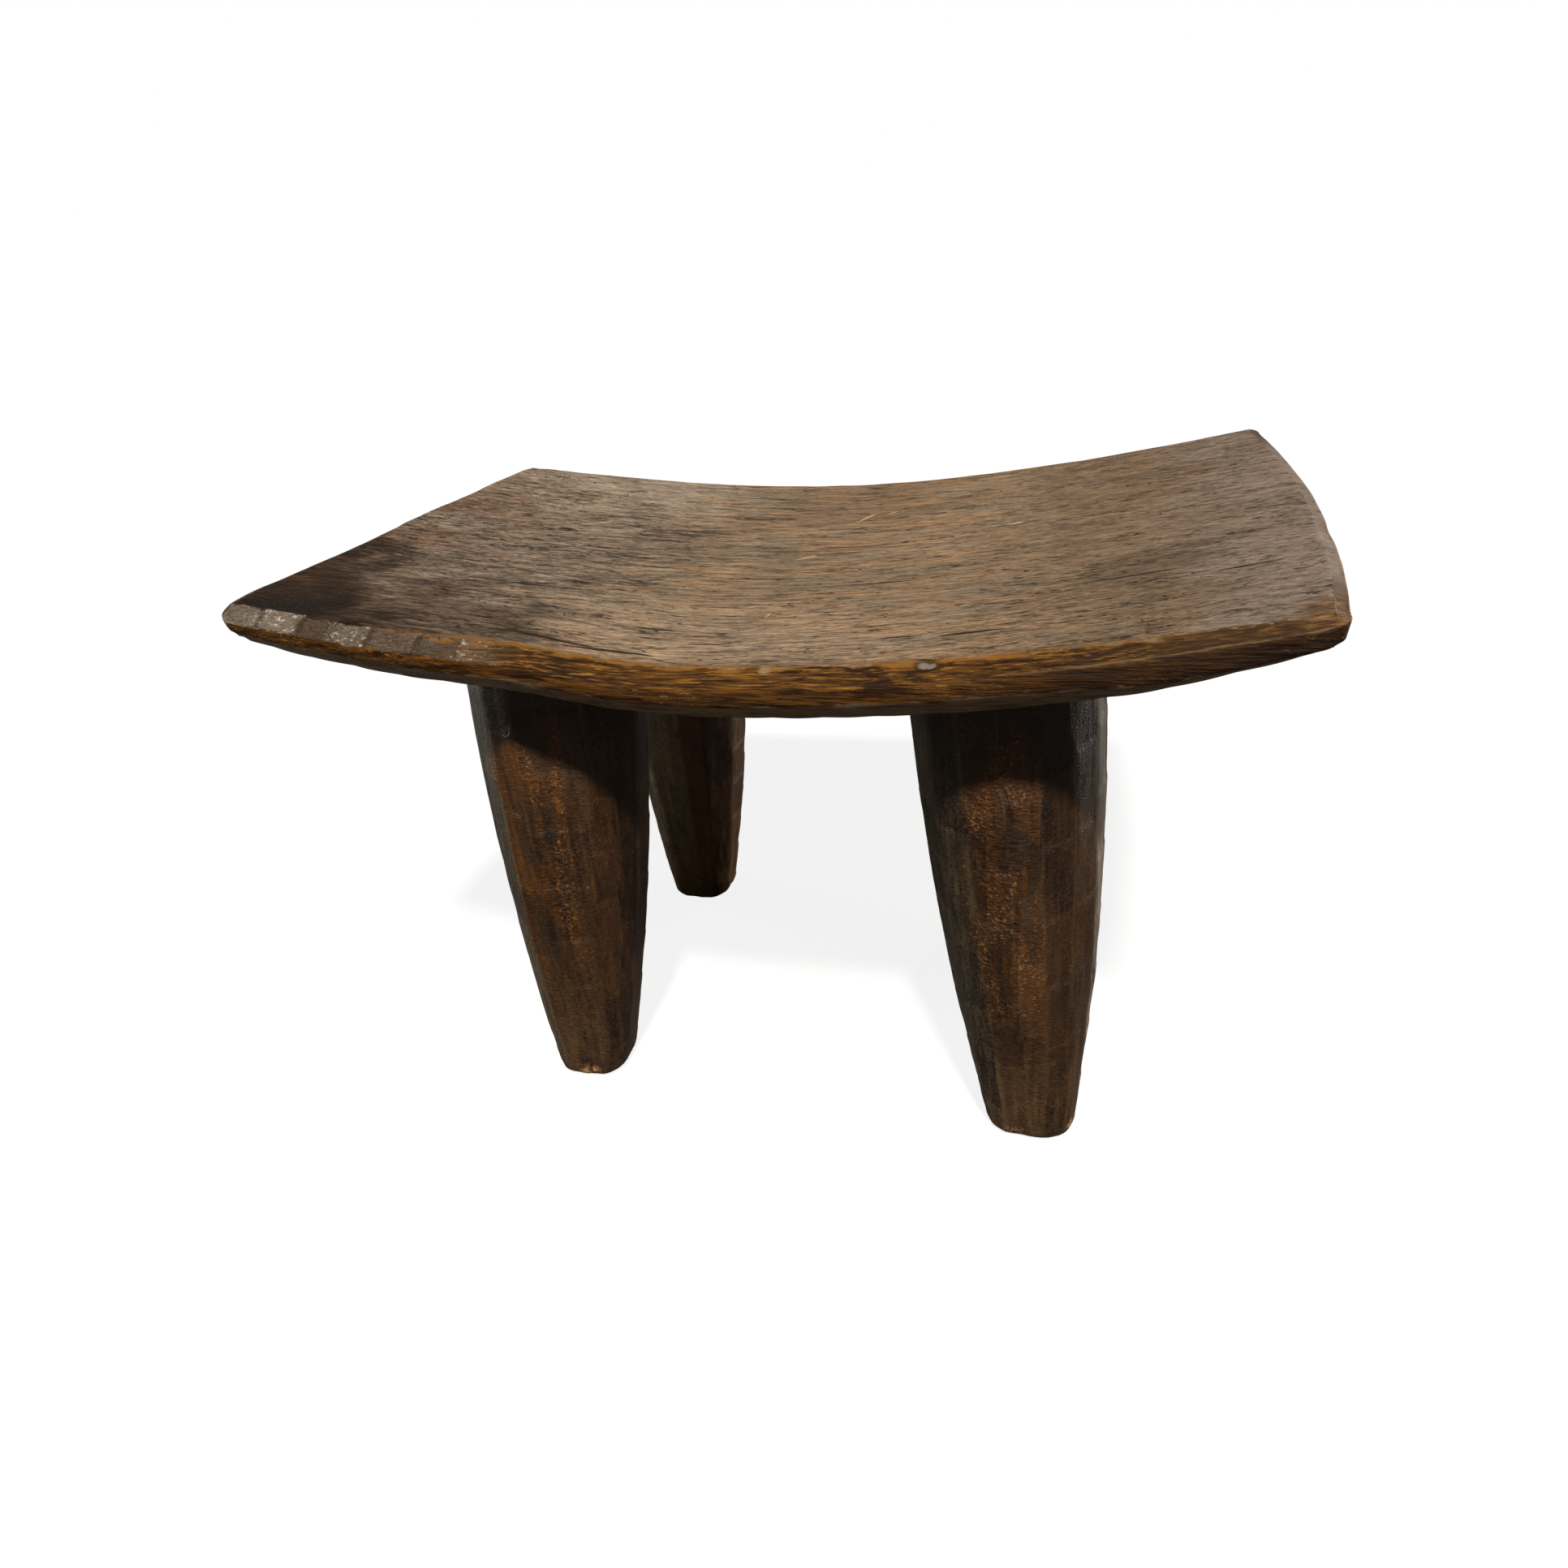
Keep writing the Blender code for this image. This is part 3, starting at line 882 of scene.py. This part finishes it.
def fissures_and_scratches(w):
    """Where the top has fissures along the grain, a few of them bold, and where scratches."""
    lines = w.noise((0.040, 0.0034, 0.0034), 21.0, 2.0, 0.5, 0.5)
    hair = w.step(w.math("ABSOLUTE", w.centred(lines)), 0.020, 0.006)
    sparse = w.step(w.noise((0.036, 0.009, 0.009), 30.0, 2.0), 0.48, 0.54)
    wander = w.times(w.centred(w.noise((0.012, 0.012, 0.012), 40.0, 2.0)), 1.6)
    cracks = w.step(w.most(*(w.mark(*c, ragged=wander) for c in CRACKS)), 0.02, 0.30)
    fissures = w.most(w.times(hair, sparse, 0.95), cracks)
    scratches = w.step(w.most(*(w.mark(*s, ragged=wander) for s in SCRATCHES)), 0.05, 0.40)
    return fissures, scratches


def worn_chamfer(w, g, broken, handled):
    """Amber wood with painted golden glints on its fibres, bare adze cuts at the left lightened with
    painted sheen and glints, and a dull stain at the right.
    """
    amber = w.blend(w.step(g.wear, 0.36, 0.60), AMBER_DARK, AMBER)
    # lighter fibres and painted golden glints
    amber = w.over(amber, AMBER_FIBRE_AND_GLINT, w.step(g.strands, 0.54, 0.64), 0.85)
    amber = w.over(amber, AMBER_GAP, w.step(g.strands, 0.50, 0.40), 0.95)
    # the cuts: bare wood, some lightened with painted sheen
    cuts = w.blend(w.tag("cut"), CUT_BROWN, CUT_PALE_AND_SHEEN)
    cuts = w.over(cuts, CUT_PORE, w.step(g.pores, 0.55, 0.40), 0.6)
    cuts = w.over(cuts, CUT_STAIN, w.step(g.x, -0.235, -0.210), 0.35)
    cuts = w.over(cuts, CUT_SEAM, w.tag("seam"), 0.75)
    sparkle = w.step(w.noise((0.0030, 0.0022, 0.0022), 84.0, 3.0, 0.7), 0.56, 0.66)
    glints = w.times(sparkle, w.step(w.tag("cut"), 0.3, 0.8))
    cuts = w.over(cuts, CUT_GLINT, glints, 0.8)
    chamfer = w.blend(handled, amber, cuts)
    return w.over(chamfer, CHAMFER_STAIN, w.step(w.plus(broken, g.x), 0.13, 0.23), 0.68)


def side_face(w, g):
    """Dark wood with flecks of painted glint, almost black at the right."""
    glint_flecks = w.step(w.noise((0.0070, 0.0013, 0.0013), 70.0, 4.0, 0.7), 0.57, 0.66)
    glint_place = w.step(w.noise((0.040, 0.020, 0.020), 75.0, 2.0), 0.46, 0.58)
    side = w.blend(w.step(g.wear, 0.38, 0.64), SIDE_DARK, SIDE_BROWN)
    side = w.over(side, GRAIN_DARK, w.step(g.strands, 0.50, 0.38), 0.6)
    # flecks of painted glint
    side = w.over(side, GLINT_FLECK, glint_flecks, glint_place, 0.9)
    return w.over(side, SIDE_STAIN, w.step(g.x, 0.10, 0.18), 0.75)


def slab_wood():
    """Weathered taupe top, amber worn edges, dark side faces and a brown underside."""
    w = Wood("slab_wood")
    g = slab_grain(w)
    broken = w.times(w.centred(g.wear), 0.10)
    handled = w.step(w.plus(broken, g.x), -0.105, -0.150)
    ragged = w.times(w.centred(w.noise((0.014, 0.004, 0.004), 60.0, 3.0, 0.65)), 0.9)
    edge = w.plus(g.girth, ragged)
    off_centre = w.math("ABSOLUTE", g.y)
    at_side = w.step(off_centre, 0.12, 0.15)

    top = grained(w, g, stain_and_shade_front_left(w, g, sitting_face(w, g)))
    fissures, scratches = fissures_and_scratches(w)
    top = w.over(top, FISSURE, fissures, 0.92)
    top = w.over(top, SCRATCH, scratches, 0.9)

    # the chamfer, under a thin bright line
    chamfer = worn_chamfer(w, g, broken, handled)
    colour = w.over(top, chamfer, w.step(edge, -0.04, 0.05), at_side)
    line = w.times(w.step(edge, -0.40, -0.02), w.step(edge, 0.20, 0.04))
    line = w.times(line, at_side, w.step(g.wear, 0.38, 0.56), w.step(g.x, 0.24, 0.15))
    colour = w.over(colour, AMBER_LINE, line, w.step(g.x, -0.200, -0.120))

    # the ends keep the greyer wood, a little worn at the right front corner
    ended = w.times(w.step(edge, 0.0, 0.3), w.step(off_centre, 0.165, 0.15))
    colour = w.over(colour, END_GREY, ended, w.step(g.x, -0.1, 0.1), 0.35)
    colour = w.over(colour, END_DARK, ended, w.step(g.x, 0.1, -0.1), 0.75)
    worn = w.blend(w.step(g.strands, 0.42, 0.60), WORN_BROWN, WORN_PALE)
    colour = w.over(colour, worn, w.spot(*WORN_CORNER_SPOT), 0.8)

    # the side face, with a thin worn ridge above it at the right lightened by a painted highlight, and the
    # underside
    colour = w.over(colour, side_face(w, g), w.step(edge, 1.00, 1.16))
    sharp = w.plus(g.girth, w.times(ragged, 0.35))
    ridge = w.times(w.step(sharp, 0.88, 0.98), w.step(sharp, 1.08, 1.00), w.step(g.x, 0.10, 0.18))
    colour = w.over(colour, RIDGE_WORN_AND_LIT, ridge, w.step(g.wear, 0.36, 0.50), 0.38)
    under = w.blend(w.step(g.bands, 0.40, 0.68), UNDER_PALE, UNDER_BROWN)
    under = w.over(under, UNDER_GAP, w.step(g.strands, 0.48, 0.38), 0.6)
    colour = w.over(colour, under, w.step(edge, 2.0, 2.15))

    # the nick, with a painted reflection in it, and the small dent on the front chamfer
    colour = w.over(colour, NICK_RIM, w.spot(*NICK_RIM_SPOT), 0.85)
    nick = w.most(*(w.spot(*spot) for spot in NICK_SPOTS))
    colour = w.over(colour, NICK_PAINTED_GLEAM, nick)
    colour = w.over(colour, DENT_BARE, w.spot(*DENT_SPOT), 0.7)

    rough = w.plus(0.64, w.times(w.centred(g.pores), 0.5))
    glossy = w.most(w.times(handled, w.step(edge, -0.02, 0.05)), w.times(g.left, 0.3), nick)
    rough = w.math("SUBTRACT", rough, w.times(glossy, 0.36))

    relief = w.plus(w.times(g.fibres, 0.9), w.times(g.pores, 0.5))
    relief = w.math("SUBTRACT", relief, w.times(fissures, 1.2))
    relief = w.math("SUBTRACT", relief, w.times(scratches, 0.4))
    grain = w.bump(relief, 0.0016)
    split = w.bump(w.plus(w.times(g.strands, 1.0), w.times(g.wear, 0.8)), 0.0016)
    beaten = w.bump(w.noise((0.0040, 0.0026, 0.0026), 80.0, 3.0, 0.6), 0.0022)
    below_top = w.step(edge, -0.05, 0.1)
    normal = w.over(grain, split, below_top, at_side)
    normal = w.over(normal, beaten, below_top, handled, at_side, 0.8)
    return w.finish(colour, rough, normal, specular=0.20)


def leg_wood():
    """Dark waxy stain over hewn facets, rubbed through to orange in patches."""
    w = Wood("leg_wood")
    tone = w.tag("tone")
    x, z = w.axis("X"), w.axis("Z")

    pores = w.noise((0.0060, 0.0009, 0.0009), 2.3, 4.0, 0.62)
    streaks = w.noise((0.004, 0.004, 0.060), 6.1, 4.0, 0.62, 0.2)
    patches = w.noise((0.016, 0.016, 0.040), 12.4, 4.0, 0.62, 0.6)
    clouds = w.noise((0.045, 0.045, 0.080), 17.9, 2.0, 0.5)
    crumbs = w.noise((0.0022, 0.0018, 0.0018), 26.0, 2.0, 0.6)

    colour = w.blend(w.times(tone, 0.5), LEG_RED, LEG_BROWN)
    # olive facets facing left: tint and painted light
    colour = w.over(colour, LEG_OLIVE_AND_SIDE_LIGHT, w.tag("olive"), 0.85)
    rubbed = w.times(w.tag("rubbed"), w.step(z, 0.06, 0.17), w.step(z, 0.297, 0.275))
    rubbed = w.plus(0.18, w.times(rubbed, 0.82))
    colour = w.over(colour, LEG_RUBBED, w.step(patches, 0.41, 0.56), rubbed, 0.85)
    colour = w.over(colour, LEG_DARK, w.step(patches, 0.42, 0.32), 0.6)
    colour = w.over(colour, FOOT_BROWN, w.step(z, 0.11, 0.02), 0.6)
    shade = w.swing((streaks, 3.0), (pores, 3.4), (clouds, 1.2), (tone, 1.8), (crumbs, 2.0))
    shade = w.math("ADD", 1.0, shade, low=0.06)
    colour = w.blend(shade, LEG_DARKEST, colour, clamp=False)

    # painted shade under the slab, and a little darker on the legs at the right
    colour = w.blend(w.step(z, 0.255, 0.290), colour, w.blend(0.4, colour, BLACK))
    colour = w.over(colour, BLACK, w.step(x, 0.0, 0.06), w.step(z, 0.03, 0.10), 0.2)

    # weathered pale strips with painted sheen, lighter edges between the facets that are worn and carry a
    # painted highlight, and specks of crackled varnish with painted glints in the rubbed places
    weathered_and_sheen = w.blend(w.step(streaks, 0.40, 0.60), WEATHERED_AND_SHEEN_BROWN, WEATHERED_AND_SHEEN_PALE)
    colour = w.over(colour, weathered_and_sheen, w.tag("pale"), w.step(patches, 0.36, 0.50), 0.85)
    # worn crests with a painted highlight
    colour = w.over(colour, CREST_WEAR_AND_HIGHLIGHT, w.tag("crest"), w.step(streaks, 0.40, 0.56), 0.4)
    # specks in the rubbed places: varnish and painted glints
    beaten = w.times(w.step(patches, 0.45, 0.54), w.step(clouds, 0.38, 0.48), rubbed)
    colour = w.over(colour, SPECK_AND_GLINT, w.step(crumbs, 0.58, 0.68), beaten, 0.75)

    chips = w.most(*(w.spot(*spot) for spot in CHIP_SPOTS))
    torn = w.step(w.noise((0.004, 0.004, 0.003), 33.0, 3.0), 0.44, 0.56)
    colour = w.over(colour, CHIP, chips, torn, 0.85)

    rough = w.plus(0.40, w.times(w.centred(pores), 0.5))
    rough = w.plus(rough, w.times(w.centred(clouds), 0.3))
    grain = w.bump(w.plus(w.times(streaks, 0.5), w.times(pores, 0.7)), 0.0011)
    pitted = w.bump(w.times(crumbs, beaten), 0.0010, grain)
    return w.finish(colour, rough, pitted, specular=0.5)


# ---------------------------------------------------------------- building
LEG_SEED, LEG_SEED_STEP = 100, 20


def build_object():
    new_piece("seat", *hewn_slab(), "seat_wood", slab_wood())
    wood = leg_wood()
    for number, name in enumerate(FACET_CORNERS):
        new_piece(name, *hewn_leg(name, LEG_SEED + LEG_SEED_STEP * number), "leg_wood", wood)


# ---------------------------------------------------------------- studio
AZIMUTH, ELEVATION, ROLL = 16.35, 25.81, -5.02
TARGET = Vector((-0.0059, 0.0009, 0.576 * SEAT_HIGH[2]))
DISTANCE = 0.7340
LENS, SENSOR_WIDTH = 24.89, 36
SHIFT = (-0.0184, -0.0349)

FLOOR_SIZE = 60
FLOOR_PALE = (0.15, 0.15, 0.15)  # the share of the floor's look that takes shadows
FLOOR_GLOW = 0.86
FLOOR_BOUNCE = (0.10, 0.09, 0.08)

# Each lamp: the direction to it, its width in degrees, its strength and its colour
KEY = ((0.18, -0.53, 0.83), 4.0, 3.75, (1.0, 0.97, 0.92))
RIGHT_FILL = ((0.7, 0.72, 0.10), 20.0, 2.2, (1.0, 0.98, 0.94))
LEFT_FILL = ((-1.0, 0.25, 0.10), 30.0, 1.5, (1.0, 0.98, 0.90))
BACK_FILL = ((0.6, 0.8, 0.30), 45.0, 0.18, (1.0, 0.98, 0.95))
SKY = (0.055, 0.050, 0.043)


def build_camera():
    a, e = math.radians(AZIMUTH), math.radians(ELEVATION)
    back = Vector((math.sin(a) * math.cos(e), -math.cos(a) * math.cos(e), math.sin(e)))
    data = bpy.data.cameras.new("camera")
    camera = bpy.data.objects.new("camera", data)
    bpy.context.scene.collection.objects.link(camera)
    camera.location = TARGET + back * DISTANCE
    upright = back.to_track_quat("Z", "Y").to_matrix()
    camera.rotation_euler = (upright @ Matrix.Rotation(math.radians(ROLL), 3, "Z")).to_euler()
    data.lens = LENS
    data.sensor_width = SENSOR_WIDTH
    data.shift_x, data.shift_y = SHIFT
    data.clip_start = 0.01
    bpy.context.scene.camera = camera


def sun(name, towards, angle, strength, colour):
    """A distant lamp in the direction towards, as wide as angle in degrees."""
    data = bpy.data.lights.new(name, "SUN")
    data.angle = math.radians(angle)
    data.energy = strength
    data.color = colour
    lamp = bpy.data.objects.new(name, data)
    bpy.context.scene.collection.objects.link(lamp)
    lamp.rotation_euler = Vector(towards).to_track_quat("Z", "Y").to_euler()


def stage_mix(tree, seen, unseen, output):
    """Camera rays get the first shader and all other rays the second."""
    rays = tree.nodes.new("ShaderNodeLightPath")
    mix = tree.nodes.new("ShaderNodeMixShader")
    tree.links.new(rays.outputs["Is Camera Ray"], mix.inputs[0])
    tree.links.new(unseen, mix.inputs[1])
    tree.links.new(seen, mix.inputs[2])
    tree.links.new(mix.outputs[0], output)


def build_floor():
    """A wide pale floor with a faint shadow, which throws little light back at the stool."""
    bpy.ops.mesh.primitive_plane_add(size=FLOOR_SIZE, location=(0, 0, 0))
    floor = bpy.context.object
    floor.name = "floor"
    paint = bpy.data.materials.new("floor_paint")
    paint.use_nodes = True
    tree = paint.node_tree
    pale = tree.nodes["Principled BSDF"]
    pale.inputs["Base Color"].default_value = (*FLOOR_PALE, 1)
    pale.inputs["Roughness"].default_value = 0.9
    pale.inputs["Specular IOR Level"].default_value = 0.0
    pale.inputs["Emission Color"].default_value = (1, 1, 1, 1)
    pale.inputs["Emission Strength"].default_value = FLOOR_GLOW
    dim = tree.nodes.new("ShaderNodeBsdfDiffuse")
    dim.inputs["Color"].default_value = (*FLOOR_BOUNCE, 1)
    stage_mix(tree, pale.outputs[0], dim.outputs[0], tree.nodes["Material Output"].inputs["Surface"])
    floor.data.materials.append(paint)


def build_light():
    sun("key", *KEY)
    sun("right_fill", *RIGHT_FILL)
    sun("left_fill", *LEFT_FILL)
    sun("back_fill", *BACK_FILL)
    world = bpy.data.worlds.new("studio")
    bpy.context.scene.world = world
    world.use_nodes = True
    tree = world.node_tree
    dim = tree.nodes["Background"]
    dim.inputs["Color"].default_value = (*SKY, 1)
    white = tree.nodes.new("ShaderNodeBackground")
    white.inputs["Color"].default_value = (1, 1, 1, 1)
    stage_mix(tree, white.outputs[0], dim.outputs[0], tree.nodes["World Output"].inputs["Surface"])
    bpy.context.scene.view_settings.view_transform = "Standard"


build_object()
build_camera()
build_floor()
build_light()
